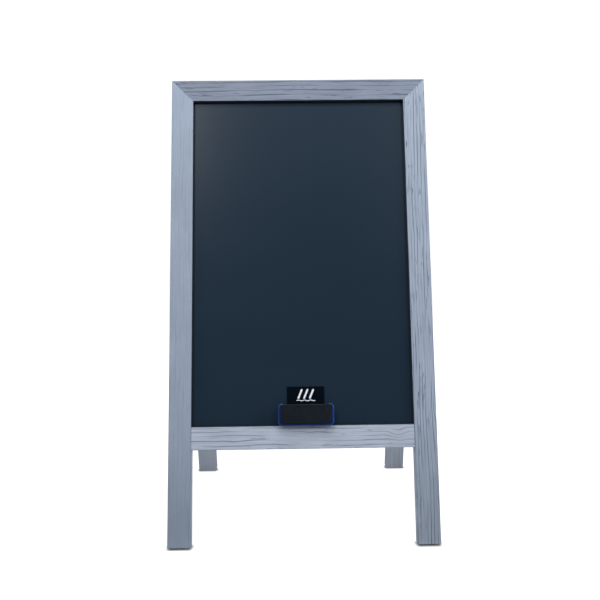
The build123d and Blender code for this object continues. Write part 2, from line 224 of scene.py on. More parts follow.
def washed_pine(name, side, member, shift):
    """Solid washed softwood for one member; shift moves the seed, so that the twin frame differs."""
    pine, tree, shader = start_finish(name, IOR=1.47)
    seed = member["seed"] + shift
    flat = bench_place(tree, side)
    parts = add(tree, "SeparateXYZ", {"Vector": flat}).node
    along = parts.outputs["Y" if member["along"] == "u" else "X"]
    across = parts.outputs["X" if member["along"] == "u" else "Y"]
    depth = add(tree, "Math", {0: parts.outputs["Z"], 1: TIMBER / 2}, operation="SUBTRACT")

    # Swirls first: near an old branch every line dips, so the across value is pushed there.
    warped = across
    for swirl_along, swirl_across, reach_along, reach_across, dip in member["swirls"]:
        off_along = add(tree, "Math", {0: along, 1: swirl_along}, operation="SUBTRACT")
        off_along = add(tree, "Math", {0: off_along, 1: reach_along}, operation="DIVIDE")
        off_across = add(tree, "Math", {0: across, 1: swirl_across}, operation="SUBTRACT")
        off_across = add(tree, "Math", {0: off_across, 1: reach_across}, operation="DIVIDE")
        off = add(tree, "CombineXYZ", {"X": off_along, "Y": off_across})
        distance = add(tree, "VectorMath", {0: off}, "Value", operation="LENGTH")
        push = add(tree, "MapRange", {"Value": distance, "From Min": 1.6, "From Max": 0.0, "To Max": dip},
                   interpolation_type="SMOOTHERSTEP")
        warped = add(tree, "Math", {0: warped, 1: push}, operation="ADD")

    centred = add(tree, "Math", {0: warped, 1: member["centre"]}, operation="SUBTRACT")
    board = add(tree, "CombineXYZ", {"X": along, "Y": centred, "Z": depth})

    # The rings sway slowly along the trunk, and ripple a little on a scale of about 20 mm.
    slow = add(tree, "Mapping", {"Vector": board, "Location": (seed, seed * 0.7, 0.0),
                                 "Scale": (1 / 240, 1 / 70, 1 / 70)})
    slow = add(tree, "TexNoise", {"Vector": slow, "Scale": 1.0, "Detail": 1.0})
    slow = add(tree, "MapRange", {"Value": slow, "From Min": 0.25, "From Max": 0.75,
                                  "To Min": -member["sway"], "To Max": member["sway"]}, clamp=False)
    quick = add(tree, "Mapping", {"Vector": board, "Location": (0.0, seed, seed),
                                  "Scale": (1 / 34, 1 / 11, 1 / 11)})
    quick = add(tree, "TexNoise", {"Vector": quick, "Scale": 1.0, "Detail": 1.5})
    quick = add(tree, "MapRange", {"Value": quick, "From Min": 0.25, "From Max": 0.75,
                                   "To Min": -member["ripple"], "To Max": member["ripple"]}, clamp=False)
    pith_across, pith_depth = member["pith"]
    from_pith = add(tree, "Mapping", {"Vector": board, "Location": (0.0, -pith_across, -pith_depth),
                                      "Scale": (0.0, 1.0, 1.0)})
    radius = add(tree, "VectorMath", {0: from_pith}, "Value", operation="LENGTH")
    radius = add(tree, "Math", {0: radius, 1: slow}, operation="ADD")
    radius = add(tree, "Math", {0: radius, 1: quick}, operation="ADD")

    # Each year ends in a thin dark line; some years are strong, most are faint, and each comes and goes.
    rings = add(tree, "Math", {0: radius, 1: member["ring"]}, operation="DIVIDE")
    year = add(tree, "Math", {0: rings}, operation="FRACT")
    summer = add(tree, "MapRange", {"Value": year, "From Min": 0.66, "From Max": 0.92},
                 interpolation_type="SMOOTHSTEP")
    winter = add(tree, "MapRange", {"Value": year, "From Min": 1.0, "From Max": 0.955})
    late = add(tree, "Math", {0: summer, 1: winter}, operation="MULTIPLY")
    along_ring = add(tree, "Math", {0: along, 1: 1 / 85}, operation="MULTIPLY")
    run = add(tree, "CombineXYZ", {"X": along_ring, "Y": rings, "Z": seed})
    strength = add(tree, "TexNoise", {"Vector": run, "Scale": 0.9, "Detail": 1.0})
    strength = add(tree, "MapRange", {"Value": strength, "From Min": 0.38, "From Max": 0.6, "To Min": 0.1})
    late = add(tree, "Math", {0: late, 1: strength}, operation="MULTIPLY")

    # Fine brushed lines follow the same rings for about 60 mm. Real fibres are finer than the 1.15 mm
    # used here, which is as coarse as it takes for them to show.
    along_fine = add(tree, "Math", {0: along, 1: 1 / 60}, operation="MULTIPLY")
    ring_fine = add(tree, "Math", {0: radius, 1: 1 / 1.15}, operation="MULTIPLY")
    fine = add(tree, "CombineXYZ", {"X": along_fine, "Y": ring_fine, "Z": seed + 4.0})
    fibre = add(tree, "TexNoise", {"Vector": fine, "Scale": 1.0, "Detail": 2.5, "Roughness": 0.55})

    # Torn dashes along the grain, where the brush opened the soft wood, in loose patches.
    along_dash = add(tree, "Math", {0: along, 1: 1 / 30}, operation="MULTIPLY")
    ring_dash = add(tree, "Math", {0: radius, 1: 1 / 1.9}, operation="MULTIPLY")
    torn = add(tree, "CombineXYZ", {"X": along_dash, "Y": ring_dash, "Z": seed + 9.0})
    dash = add(tree, "TexNoise", {"Vector": torn, "Scale": 1.0, "Detail": 1.5, "Roughness": 0.5})
    dash = add(tree, "MapRange", {"Value": dash, "From Min": 0.62, "From Max": 0.69})
    patch = add(tree, "Mapping", {"Vector": board, "Location": (seed, seed, 0.0),
                                  "Scale": (1 / 95, 1 / 17, 1 / 17)})
    patch = add(tree, "TexNoise", {"Vector": patch, "Scale": 1.0, "Detail": 1.0})
    patch = add(tree, "MapRange", {"Value": patch, "From Min": 0.42, "From Max": 0.6})
    dash = add(tree, "Math", {0: dash, 1: patch}, operation="MULTIPLY")
    marks = add(tree, "Math", {0: late, 1: dash}, operation="MAXIMUM")
    marks = add(tree, "Math", {0: marks, 1: member["lines"]}, operation="MULTIPLY")

    # The arrises: near an edge, both distances from the middle are within a millimetre or so of their limit.
    side_gap = add(tree, "Math", {0: across, 1: member["centre"]}, operation="SUBTRACT")
    side_gap = add(tree, "Math", {0: side_gap}, operation="ABSOLUTE")
    side_gap = add(tree, "Math", {0: side_gap, 1: half_member}, operation="SUBTRACT")
    face_gap = add(tree, "Math", {0: depth}, operation="ABSOLUTE")
    face_gap = add(tree, "Math", {0: face_gap, 1: TIMBER / 2}, operation="SUBTRACT")
    corner = add(tree, "Math", {0: side_gap, 1: face_gap}, operation="MINIMUM")
    # Painted shade along the arrises, where the rounded edge turns from the light; a noise varies its width.
    uneven_reach = add(tree, "TexNoise", {"Vector": flat, "Scale": 1 / 6.25, "Detail": 3.0})
    uneven_reach = add(tree, "MapRange", {"Value": uneven_reach, "From Min": 0.35, "From Max": 0.65, "To Min": -1.6,
                                  "To Max": -0.7})
    arris_shade = add(tree, "Math", {0: corner, 1: uneven_reach}, operation="SUBTRACT")
    arris_shade = add(tree, "MapRange", {"Value": arris_shade, "From Min": -0.3, "From Max": 0.5, "To Max": 0.6})

    # The inner walls round the sheet lie in the shade of the recess; that shade is painted on here, as a
    # dark slate tone in place of the wash.
    centre_u = (opening_low[1] + opening_high[1]) / 2
    in_x = add(tree, "Math", {0: parts.outputs["X"]}, operation="ABSOLUTE")
    in_x = add(tree, "Math", {0: in_x, 1: opening_high[0] + REVEAL}, operation="LESS_THAN")
    in_u = add(tree, "Math", {0: parts.outputs["Y"], 1: centre_u}, operation="SUBTRACT")
    in_u = add(tree, "Math", {0: in_u}, operation="ABSOLUTE")
    in_u = add(tree, "Math", {0: in_u, 1: opening_high[1] - centre_u + REVEAL}, operation="LESS_THAN")
    painted_reveal_shade = add(tree, "Math", {0: in_x, 1: in_u}, operation="MULTIPLY")

    # Colour: wash, fine lines, a slow mottle, ring marks; painted shade on the arrises, foot and reveal.
    fine_share = 0.10 * member["fine"]
    shade = add(tree, "MapRange", {"Value": fibre, "From Min": 0.32, "From Max": 0.68,
                                   "To Min": 1 - 1.5 * fine_share, "To Max": 1 + fine_share})
    mottle = add(tree, "TexNoise", {"Vector": flat, "Scale": 1 / 71.4, "Detail": 2.0})
    mottle = add(tree, "MapRange", {"Value": mottle, "From Min": 0.3, "From Max": 0.7, "To Min": 0.94,
                                    "To Max": 1.05})
    # Darker towards the foot: painted shade, for the light that falls off lower down the legs.
    painted_foot_shade = add(tree, "MapRange", {"Value": parts.outputs["Y"], "From Min": 20.0, "From Max": 230.0,
                                   "To Min": 0.78, "To Max": 1.0}, interpolation_type="SMOOTHSTEP")
    shade = add(tree, "Math", {0: shade, 1: mottle}, operation="MULTIPLY")
    shade = add(tree, "Math", {0: shade, 1: painted_foot_shade}, operation="MULTIPLY")
    body = add(tree, "Mix", {0: marks, 6: linear(member["wash"]), 7: linear(member["grain"])}, 2,
               data_type="RGBA")
    body = add(tree, "VectorMath", {0: body, 3: shade}, operation="SCALE")
    body = add(tree, "Mix", {0: arris_shade, 6: body, 7: linear("68778F")}, 2, data_type="RGBA")
    body = add(tree, "Mix", {0: painted_reveal_shade, 6: body, 7: linear("1B2533")}, 2, data_type="RGBA")

    # The fibres stand proud by a fraction of a millimetre, and the marks are brushed below them.
    height = add(tree, "Math", {0: fibre, 1: 0.6}, operation="MULTIPLY")
    height = add(tree, "Math", {0: height, 1: marks}, operation="SUBTRACT")
    relief = add(tree, "Bump", {"Height": height, "Strength": 0.7, "Distance": 0.0003})
    matt = add(tree, "MapRange", {"Value": fibre, "From Min": 0.3, "From Max": 0.7, "To Min": 0.74,
                                  "To Max": 0.56})
    plug(tree, shader, Base_Color=body, Normal=relief, Roughness=matt)
    return pine


# %% Saw and wash all eight members
def middle_across(node, side, along):
    """How far a member's own middle lies across the bench, in flat millimetres."""
    low, high = flat_box(node, side)
    axis = 0 if along == "u" else 1
    return (low[axis] + high[axis]) / 2


pine_finish = {}
REAR_SEED_SHIFT = 50.0
for side, shift in (("front", 0.0), ("rear", REAR_SEED_SHIFT)):
    for piece, member in MEMBERS.items():
        node = f"{side}_{piece}"
        own = dict(member, centre=middle_across(node, side, member["along"]))
        if side == "rear":
            own.update(wash=REAR_WASH_AND_PAINTED_LIGHT[piece], swirls=[], lines=0.45 * member["lines"], fine=0.5)
        pine_finish[node] = washed_pine(f"washed_pine_{node}", side, own, shift)
print("washed pine finishes:", len(pine_finish))

# %% [markdown]
# ## Chalkboard paint on sheet steel
# The writing face is steel sheet with a stoved slate paint. Under soft light it is nearly black with a
# blue cast, and because the paint has a fine tooth it holds a wide, weak sheen and no mirror image.
# This board is clean, so only a very slow change of colour is left of the eraser's sweeps, and the
# tooth does the rest: it speckles the colour, the bump and the roughness together.

# %% Slate paint
def slate_paint(name, side):
    """Matt chalkboard paint with a fine tooth and one very faint, slow sweep of chalk."""
    slate, tree, shader = start_finish(name, IOR=1.5)
    flat = bench_place(tree, side)
    sweep = add(tree, "Mapping", {"Vector": flat, "Rotation": (0.0, 0.0, 0.35),
                                  "Scale": (1 / 340, 1 / 110, 0.0)})
    sweep = add(tree, "TexNoise", {"Vector": sweep, "Scale": 1.0, "Detail": 0.0})
    sweep = add(tree, "MapRange", {"Value": sweep, "From Min": 0.25, "From Max": 0.75})
    # The grit of real slate paint is about 0.1 mm; at 0.7 mm it still shows from a step away.
    grit = add(tree, "TexNoise", {"Vector": flat, "Scale": 1 / 0.7, "Detail": 2.0})
    speck = add(tree, "MapRange", {"Value": grit, "From Min": 0.3, "From Max": 0.7,
                                   "To Min": 0.9, "To Max": 1.1})
    body = add(tree, "Mix", {0: sweep, 6: linear("1A2A39"), 7: linear("1C2C3B")}, 2, data_type="RGBA")
    body = add(tree, "VectorMath", {0: body, 3: speck}, operation="SCALE")
    tooth = add(tree, "Bump", {"Height": grit, "Strength": 0.25, "Distance": 0.00006})
    sheen = add(tree, "MapRange", {"Value": grit, "To Min": 0.25, "To Max": 0.28})
    plug(tree, shader, Base_Color=body, Normal=tooth, Roughness=sheen)
    return slate


slate_finish = {side: slate_paint(f"slate_paint_{side}", side) for side in PLACES}
print("slate paint on", list(slate_finish))

# %% [markdown]
# ## Hardboard
# The backer behind each sheet is pressed hardboard: brown wood fibres cooked and squeezed flat. Its
# smooth face shows short fibres lying every way, and a faint cloudiness from the press. The face that
# lies against the sheet is darkened nearly to the slate's colour: painted shade for the narrow gap round the
# slate.

# %% Hardboard
def pressed_hardboard(name, side):
    """Brown pressed fibre, with the face behind the sheet darkened nearly to the slate colour as painted
    shade for the gap.
    """
    panel, tree, shader = start_finish(name, IOR=1.5)
    room = add(tree, "TexCoord", {}, "Object")
    lump = add(tree, "TexNoise", {"Vector": room, "Scale": cells(45.5), "Detail": 3.0})
    strand = add(tree, "TexNoise", {"Vector": room, "Scale": cells(1.1), "Detail": 3.0, "Distortion": 2.5})
    strand = add(tree, "MapRange", {"Value": strand, "From Min": 0.35, "From Max": 0.65})
    body = add(tree, "Mix", {0: strand, 6: linear("4A3626"), 7: linear("6E543C")}, 2, data_type="RGBA")
    cloud = add(tree, "MapRange", {"Value": lump, "From Min": 0.3, "From Max": 0.7,
                                   "To Min": 0.82, "To Max": 1.1})
    body = add(tree, "VectorMath", {0: body, 3: cloud}, operation="SCALE")
    face_way = add(tree, "TexCoord", {}, "Normal")
    facing = add(tree, "VectorMath", {0: face_way, 1: outward(side)}, "Value", operation="DOT_PRODUCT")
    # The face towards the sheet is darkened: painted shade for the narrow gap round the slate.
    painted_gap_shade = add(tree, "MapRange", {"Value": facing, "From Min": -0.3, "From Max": 0.0})
    body = add(tree, "Mix", {0: painted_gap_shade, 6: body, 7: linear("101A26")}, 2, data_type="RGBA")
    pressed = add(tree, "Bump", {"Height": strand, "Strength": 0.3, "Distance": 0.00012})
    polish = add(tree, "MapRange", {"Value": strand, "To Min": 0.42, "To Max": 0.6})
    plug(tree, shader, Base_Color=body, Normal=pressed, Roughness=polish)
    return panel


hardboard = {side: pressed_hardboard(f"pressed_hardboard_{side}", side) for side in PLACES}
print("hardboard for", list(hardboard))

# %% [markdown]
# ## Plated steel
# Hinges and screws are steel with a thin zinc coat, nails and retaining points are bright steel, and
# the magnets have a nickel one. Plating keeps the marks of the metal under it: rolled strip shows fine
# lines along its length, barrel-plated screws show a cloudy grey. So one recipe draws both, and each
# part has its own colour, line direction and polish.

# %% Plating
def plating(name, colour, cloud_colour, line_scale, gloss):
    """Bright plate over steel: colour clouds, fine lines and uneven polish."""
    plate, tree, shader = start_finish(name, Metallic=1.0)
    room = add(tree, "TexCoord", {}, "Object")
    cloud = add(tree, "TexNoise", {"Vector": room, "Scale": cells(6.25), "Detail": 3.0})
    cloud = add(tree, "MapRange", {"Value": cloud, "From Min": 0.35, "From Max": 0.65})
    lines = add(tree, "Mapping", {"Vector": room, "Scale": line_scale})
    lines = add(tree, "TexNoise", {"Vector": lines, "Scale": 1.0, "Detail": 3.0})
    body = add(tree, "Mix", {0: cloud, 6: linear(colour), 7: linear(cloud_colour)}, 2, data_type="RGBA")
    polish = add(tree, "MapRange", {"Value": lines, "From Min": 0.3, "From Max": 0.7,
                                    "To Min": gloss, "To Max": gloss + 0.16})
    rolled = add(tree, "Bump", {"Height": lines, "Strength": 0.2, "Distance": 0.00003})
    plug(tree, shader, Base_Color=body, Roughness=polish, Normal=rolled)
    return plate


# Real rolling lines and barrel marks are under 0.1 mm wide, and are drawn coarser so that they show.
ALONG_X = (cells(16.7), cells(0.4), cells(0.4))
ALL_WAYS = (cells(0.65), cells(0.65), cells(0.65))
zinc_strip = plating("zinc_plated_steel_strip", "B4B8BD", "9FA6AE", ALONG_X, 0.26)
zinc_screw = plating("zinc_plated_screw_steel", "BABEC3", "A3A9B0", ALL_WAYS, 0.3)
bright_strip = plating("bright_steel_strip", "A2A5A9", "8A8E94", ALONG_X, 0.32)
nickel_plate = plating("nickel_plated_magnet", "8E9195", "7C8086", ALL_WAYS, 0.22)
print("platings:", zinc_strip.name, zinc_screw.name, bright_strip.name, nickel_plate.name)

# %% [markdown]
# ## Turned beech
# The dowels hide inside the rail joints, but they are drawn too. Beech is pale and pinkish, with
# short brown flecks about 2 mm long lying along the dowel.

# %% Beech
beech, beech_tree, beech_shader = start_finish("turned_beech", IOR=1.5)
room = add(beech_tree, "TexCoord", {}, "Object")
fleck = add(beech_tree, "Mapping", {"Vector": room, "Scale": (cells(2.2), cells(0.35), cells(0.35))})
fleck = add(beech_tree, "TexNoise", {"Vector": fleck, "Scale": 1.0, "Detail": 2.0})
fleck = add(beech_tree, "MapRange", {"Value": fleck, "From Min": 0.56, "From Max": 0.66})
body = add(beech_tree, "Mix", {0: fleck, 6: linear("C9A981"), 7: linear("94694A")}, 2, data_type="RGBA")
turned = add(beech_tree, "MapRange", {"Value": fleck, "To Min": 0.5, "To Max": 0.62})
plug(beech_tree, beech_shader, Base_Color=body, Roughness=turned)
print("beech ready")

# %% [markdown]
# ## Cotton webbing, felt, moulded plastic and card
# The straps are black webbing: the weave itself is made in the mesh, and the finish adds yarn fuzz and
# a little fading. The felt is pressed wool, almost without gloss, with a trace of sheen where its nap
# catches the light. The eraser's grip is ABS moulded in deep blue, with a light gloss and a fine spark
# texture. The card is coated black, and its cut edge shows the grey board inside.

# %% Webbing and felt
webbing, web_tree, web_shader = start_finish("woven_cotton_webbing", Roughness=0.85, IOR=1.5,
                                             Sheen_Weight=0.35, Sheen_Roughness=0.45)
room = add(web_tree, "TexCoord", {}, "Object")
yarn = add(web_tree, "TexNoise", {"Vector": room, "Scale": cells(0.5), "Detail": 3.0})
faded = add(web_tree, "TexNoise", {"Vector": room, "Scale": cells(22.2), "Detail": 2.0})
yarn = add(web_tree, "MapRange", {"Value": yarn, "From Min": 0.35, "From Max": 0.65})
body = add(web_tree, "Mix", {0: yarn, 6: linear("1E2126"), 7: linear("363A42")}, 2, data_type="RGBA")
faded = add(web_tree, "MapRange", {"Value": faded, "From Min": 0.3, "From Max": 0.7,
                                   "To Min": 0.85, "To Max": 1.2})
body = add(web_tree, "VectorMath", {0: body, 3: faded}, operation="SCALE")
spun = add(web_tree, "Bump", {"Height": yarn, "Strength": 0.5, "Distance": 0.00015})
plug(web_tree, web_shader, Base_Color=body, Normal=spun)

felt, felt_tree, felt_shader = start_finish("pressed_wool_felt", Roughness=0.95, IOR=1.45,
                                            Sheen_Weight=0.06, Sheen_Roughness=0.5, Specular_IOR_Level=0.15)
room = add(felt_tree, "TexCoord", {}, "Object")
nap = add(felt_tree, "TexNoise", {"Vector": room, "Scale": cells(1.4), "Detail": 4.0, "Roughness": 0.65,
                                  "Distortion": 1.5})
nap = add(felt_tree, "MapRange", {"Value": nap, "From Min": 0.32, "From Max": 0.7})
matted = add(felt_tree, "TexNoise", {"Vector": room, "Scale": cells(16.7), "Detail": 2.0})
body = add(felt_tree, "Mix", {0: nap, 6: linear("0C1219"), 7: linear("19212B")}, 2, data_type="RGBA")
matted = add(felt_tree, "MapRange", {"Value": matted, "From Min": 0.3, "From Max": 0.7,
                                     "To Min": 0.85, "To Max": 1.15})
body = add(felt_tree, "VectorMath", {0: body, 3: matted}, operation="SCALE")
fuzz = add(felt_tree, "Bump", {"Height": nap, "Strength": 0.7, "Distance": 0.0003})
plug(felt_tree, felt_shader, Base_Color=body, Normal=fuzz)
print("soft finishes:", webbing.name, felt.name)

# %% Moulded plastic
blue_abs, abs_tree, abs_shader = start_finish("moulded_blue_abs", IOR=1.54, Coat_Weight=0.5,
                                              Coat_Roughness=0.2)
room = add(abs_tree, "TexCoord", {}, "Object")
# A spark texture is about 0.1 mm on a real mould, and is drawn at 0.4 mm.
spark = add(abs_tree, "TexNoise", {"Vector": room, "Scale": cells(0.4), "Detail": 2.0})
flow = add(abs_tree, "TexNoise", {"Vector": room, "Scale": cells(33.3), "Detail": 2.0, "Distortion": 1.2})
flow = add(abs_tree, "MapRange", {"Value": flow, "From Min": 0.3, "From Max": 0.7})
body = add(abs_tree, "Mix", {0: flow, 6: linear("09347F"), 7: linear("0C3C90")}, 2, data_type="RGBA")
skin = add(abs_tree, "MapRange", {"Value": spark, "From Min": 0.3, "From Max": 0.7,
                                  "To Min": 0.24, "To Max": 0.34})
sparked = add(abs_tree, "Bump", {"Height": spark, "Strength": 0.15, "Distance": 0.00004})
plug(abs_tree, abs_shader, Base_Color=body, Roughness=skin, Normal=sparked)
print("moulded finish:", blue_abs.name)

# %% Card and its print
coated_card, card_tree, card_shader = start_finish("coated_black_card", IOR=1.5, Specular_IOR_Level=0.05)
room = add(card_tree, "TexCoord", {}, "Object")
mesh_side = add(card_tree, "TexCoord", {}, "Normal")
tooth = add(card_tree, "TexNoise", {"Vector": room, "Scale": cells(0.75), "Detail": 3.0})
facing = add(card_tree, "VectorMath", {0: mesh_side, 1: outward("front")}, "Value",
             operation="DOT_PRODUCT")
facing = add(card_tree, "Math", {0: facing}, operation="ABSOLUTE")
cut_edge = add(card_tree, "MapRange", {"Value": facing, "From Min": 0.6, "From Max": 0.2})
speckle = add(card_tree, "MapRange", {"Value": tooth, "From Min": 0.3, "From Max": 0.7})
body = add(card_tree, "Mix", {0: speckle, 6: linear("030A12"), 7: linear("060F18")}, 2, data_type="RGBA")
body = add(card_tree, "Mix", {0: cut_edge, 6: body, 7: linear("5E6166")}, 2, data_type="RGBA")
gloss = add(card_tree, "MapRange", {"Value": tooth, "From Min": 0.3, "From Max": 0.7,
                                    "To Min": 0.36, "To Max": 0.46})
plug(card_tree, card_shader, Base_Color=body, Roughness=gloss)

white_ink, ink_tree, ink_shader = start_finish("printed_white_ink", IOR=1.5)
room = add(ink_tree, "TexCoord", {}, "Object")
chalky = add(ink_tree, "TexNoise", {"Vector": room, "Scale": cells(0.45), "Detail": 3.0})
chalky = add(ink_tree, "MapRange", {"Value": chalky, "From Min": 0.35, "From Max": 0.6})
body = add(ink_tree, "Mix", {0: chalky, 6: linear("D5D9DE"), 7: linear("F6F8FA")}, 2, data_type="RGBA")
dry = add(ink_tree, "MapRange", {"Value": chalky, "To Min": 0.6, "To Max": 0.5})
plug(ink_tree, ink_shader, Base_Color=body, Roughness=dry)
print("card and ink:", coated_card.name, white_ink.name)

# %% [markdown]
# ## Finishing the CAD nodes
# A node whose shape is already right stays as it is, and only its material slot changes: sheets,
# backers, hinges, pins, screws, nails, points, dowels and magnets.

# %% Give the kept nodes their finishes
# Slate and hardboard are drawn in the plane of their own frame, so they have one finish for each side.
KEPT = {
    "chalkboard": slate_finish, "backer_panel": hardboard, "dowels": beech,
    "mitre_nails": bright_strip, "retaining_points": bright_strip,
    "hinge_screws": zinc_screw, "strap_screws": zinc_screw,
    "front_leaf": zinc_strip, "rear_leaf": zinc_strip, "hinge_pin": zinc_strip,
    "eraser_magnets": nickel_plate,
}
finished = []
for node, piece in frame["nodes"].items():
    side = "rear" if node.startswith("rear") else "front"
    word = next((word for word in KEPT if node.endswith(word)), None)
    finish = KEPT.get(word, pine_finish.get(node))
    if finish:
        piece.material_slots[0].material = finish[side] if isinstance(finish, dict) else finish
        finished.append(node)
print("kept nodes finished:", len(finished))

# %% [markdown]
# ## Building with loops
# The moulded and soft pieces are made as a maker would turn or mould them: a row of closed loops, each
# with the same number of points, joined by bands of faces and closed at both ends.

# %% Loops to a mesh
CORNERS = ((1, -1), (1, 1), (-1, 1), (-1, -1))
CORNER_STEPS = 6


def rounded_loop(width, height, radius, centre, n, edge_steps=(24, 8)):
    """Points of a rounded rectangle in flat millimetres, anticlockwise from the lower right corner."""
    half_x, half_u = width / 2 - radius, height / 2 - radius

    def on_arc(corner, angle):
        return corner[0] * half_x + radius * cos(angle), corner[1] * half_u + radius * sin(angle)

    points = []
    for quarter, corner in enumerate(CORNERS):
        start = (quarter - 1) * pi / 2
        points += [on_arc(corner, start + step * pi / 2 / CORNER_STEPS) for step in range(CORNER_STEPS + 1)]
        leaving = points[-1]
        arriving = on_arc(CORNERS[(quarter + 1) % 4], start + pi / 2)
        steps = edge_steps[(quarter + 1) % 2]
        for step in range(1, steps):
            share = step / steps
            points.append(tuple(a + (b - a) * share for a, b in zip(leaving, arriving)))
    return [Vector((centre[0] + x, centre[1] + u, n)) for x, u in points]


def join_rows(bm, rows):
    """Faces between neighbouring rows of points, with the first and last row capped."""
    count = len(rows[0])
    for low, high in zip(rows, rows[1:]):
        for index in range(count):
            after = (index + 1) % count
            bm.faces.new((low[index], low[after], high[after], high[index]))
    bm.faces.new(rows[0][::-1])
    bm.faces.new(rows[-1])


def join_loops(name, loops, finishes, to_room):
    """A closed piece in the room from a row of loops."""
    bm = bmesh.new()
    join_rows(bm, [[bm.verts.new(point) for point in loop] for loop in loops])
    return finish_mesh(name, bm, finishes, to_room)


def finish_mesh(name, bm, finishes, to_room, crease=35.0):
    """Turn a flat-millimetre bmesh into a piece in the room, smooth apart from its creases."""
    bm.transform(to_room)
    bmesh.ops.recalc_face_normals(bm, faces=bm.faces)
    for edge in bm.edges:
        edge.smooth = len(edge.link_faces) == 2 and edge.calc_face_angle(0.0) < radians(crease)
    for face in bm.faces:
        face.smooth = True
    mesh = bpy.data.meshes.new(name)
    bm.to_mesh(mesh)
    bm.free()
    for finish in finishes:
        mesh.materials.append(finish)
    piece = bpy.data.objects.new(name, mesh)
    bpy.context.scene.collection.objects.link(piece)
    return piece


print("loop helpers ready")

# %% [markdown]
# ## The eraser's grip
# It is a moulded block, waisted along its top and grooved along its bottom for the fingers, with a
# softened back and a rim round the bed that the felt is glued into. The rim is what shows round the
# felt, so its outer corner gets a real radius to catch the light. Along the waisted top the felt covers
# the rim, and only the two corners stand up beside it. The magnet bores are cut last, by two Booleans.

# %% Mould the grip
shell_low, shell_high = flat_box("eraser_shell", "front")
felt_low, felt_high = flat_box("eraser_felt", "front")
shell_size = [shell_high[axis] - shell_low[axis] for axis in range(3)]
shell_centre = [(shell_high[axis] + shell_low[axis]) / 2 for axis in range(3)]
felt_size = [felt_high[axis] - felt_low[axis] for axis in range(3)]
felt_centre = [(felt_high[axis] + felt_low[axis]) / 2 for axis in range(3)]
# All in mm. Between its corners the top is pressed in by TOP_WAIST, which eases to TOP_EDGE at the rim,
# and the whole top falls by TOP_DRAFT towards the back.
CORNER, BACK_ROUND, RIM_ROUND = 8.0, 2.5, 1.0
GROOVE_DEPTH, GROOVE_RADIUS = 1.8, 7.0
PRESS_CLEAR, PRESS_EASE = 0.5, 3.0
TOP_WAIST, TOP_EDGE, TOP_DRAFT = 3.4, 2.1, 1.8
BED_GAP, BED_CORNER, BED_BEVEL, BED_WAIST, GLUE = 0.12, 3.1, 0.3, 1.3, 0.1
BORE_OFFSET, BORE_RADIUS, BORE_DEPTH = 30.0, 6.1, 3.1


def press_in(loop, top_depth, bottom_depth):
    """Push the long sides of a loop in between its corners, where the fingers go."""
    reach = shell_size[0] / 2 - CORNER - PRESS_CLEAR
    for point in loop:
        fade = min(1.0, max(0.0, (reach - abs(point.x - shell_centre[0])) / PRESS_EASE))
        fade = fade * fade * (3 - 2 * fade)
        if point.y > shell_centre[1] + shell_size[1] / 2 - CORNER:
            point.y -= top_depth * fade
        elif point.y < shell_centre[1] - shell_size[1] / 2 + CORNER:
            point.y += bottom_depth * fade
    return loop


def grip_loop(inset, n):
    """One loop of the grip's outside. The top is waisted all the way, and the felt rides over its edge."""
    loop = rounded_loop(shell_size[0] - 2 * inset, shell_size[1] - 2 * inset, CORNER - inset * 0.8,
                        shell_centre, n)
    off = n - shell_centre[2]
    dip = max(0.0, max(0.0, GROOVE_RADIUS ** 2 - off ** 2) ** 0.5 - (GROOVE_RADIUS - GROOVE_DEPTH))
    share = min(1.0, max(0.0, off / (shell_size[2] / 2)))
    draft = TOP_DRAFT * (shell_high[2] - n) / shell_size[2]
    for point in loop:
        rise = (point.y - shell_centre[1]) / (shell_size[1] / 2)
        point.y -= draft * max(0.0, rise) ** 2
    return press_in(loop, TOP_WAIST + (TOP_EDGE - TOP_WAIST) * share ** 2 - draft, dip)


back, front = shell_low[2], shell_high[2]
flank = front - RIM_ROUND - back - BACK_ROUND
grip_loops = []
for step in range(6):
    angle = step * pi / 10
    grip_loops.append(grip_loop(BACK_ROUND * (1 - sin(angle)), back + BACK_ROUND * (1 - cos(angle))))
for step in range(1, 16):
    grip_loops.append(grip_loop(0.0, back + BACK_ROUND + step * flank / 15))
for step in range(1, 5):
    angle = step * pi / 8
    grip_loops.append(grip_loop(RIM_ROUND * (1 - cos(angle)), front - RIM_ROUND + RIM_ROUND * sin(angle)))
for spread, n in ((BED_BEVEL, front), (0.0, front - BED_BEVEL), (0.0, felt_low[2] - GLUE)):
    gap = BED_GAP + spread
    bed = rounded_loop(felt_size[0] + 2 * gap, felt_size[1] + 2 * gap, BED_CORNER + spread, felt_centre, n)
    grip_loops.append(press_in(bed, BED_WAIST, 0.0))
grip = join_loops("eraser_grip", grip_loops, [blue_abs], bench_to_room("front"))
print("grip loops:", len(grip_loops))

# %% Cut the magnet bores
for bore_x in (-BORE_OFFSET, BORE_OFFSET):
    cutter_mesh = bmesh.new()
    bmesh.ops.create_cone(cutter_mesh, cap_ends=True, segments=48, radius1=BORE_RADIUS, radius2=BORE_RADIUS,
                          depth=2 * BORE_DEPTH)
    place = Matrix.Translation((shell_centre[0] + bore_x, shell_centre[1], back))
    cutter = finish_mesh("magnet_bore", cutter_mesh, [blue_abs], bench_to_room("front") @ place)
    bore = grip.modifiers.new("magnet_bore", "BOOLEAN")
    bore.object = cutter
    bore.operation = "DIFFERENCE"
    bpy.context.view_layer.update()
    cut = bpy.data.meshes.new_from_object(grip.evaluated_get(bpy.context.evaluated_depsgraph_get()))
    grip.modifiers.clear()
    grip.data = cut
    bpy.data.objects.remove(cutter)
grip.data.name = "eraser_grip"
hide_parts("eraser_shell")
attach(grip, "eraser")
print("grip faces:", len(grip.data.polygons))

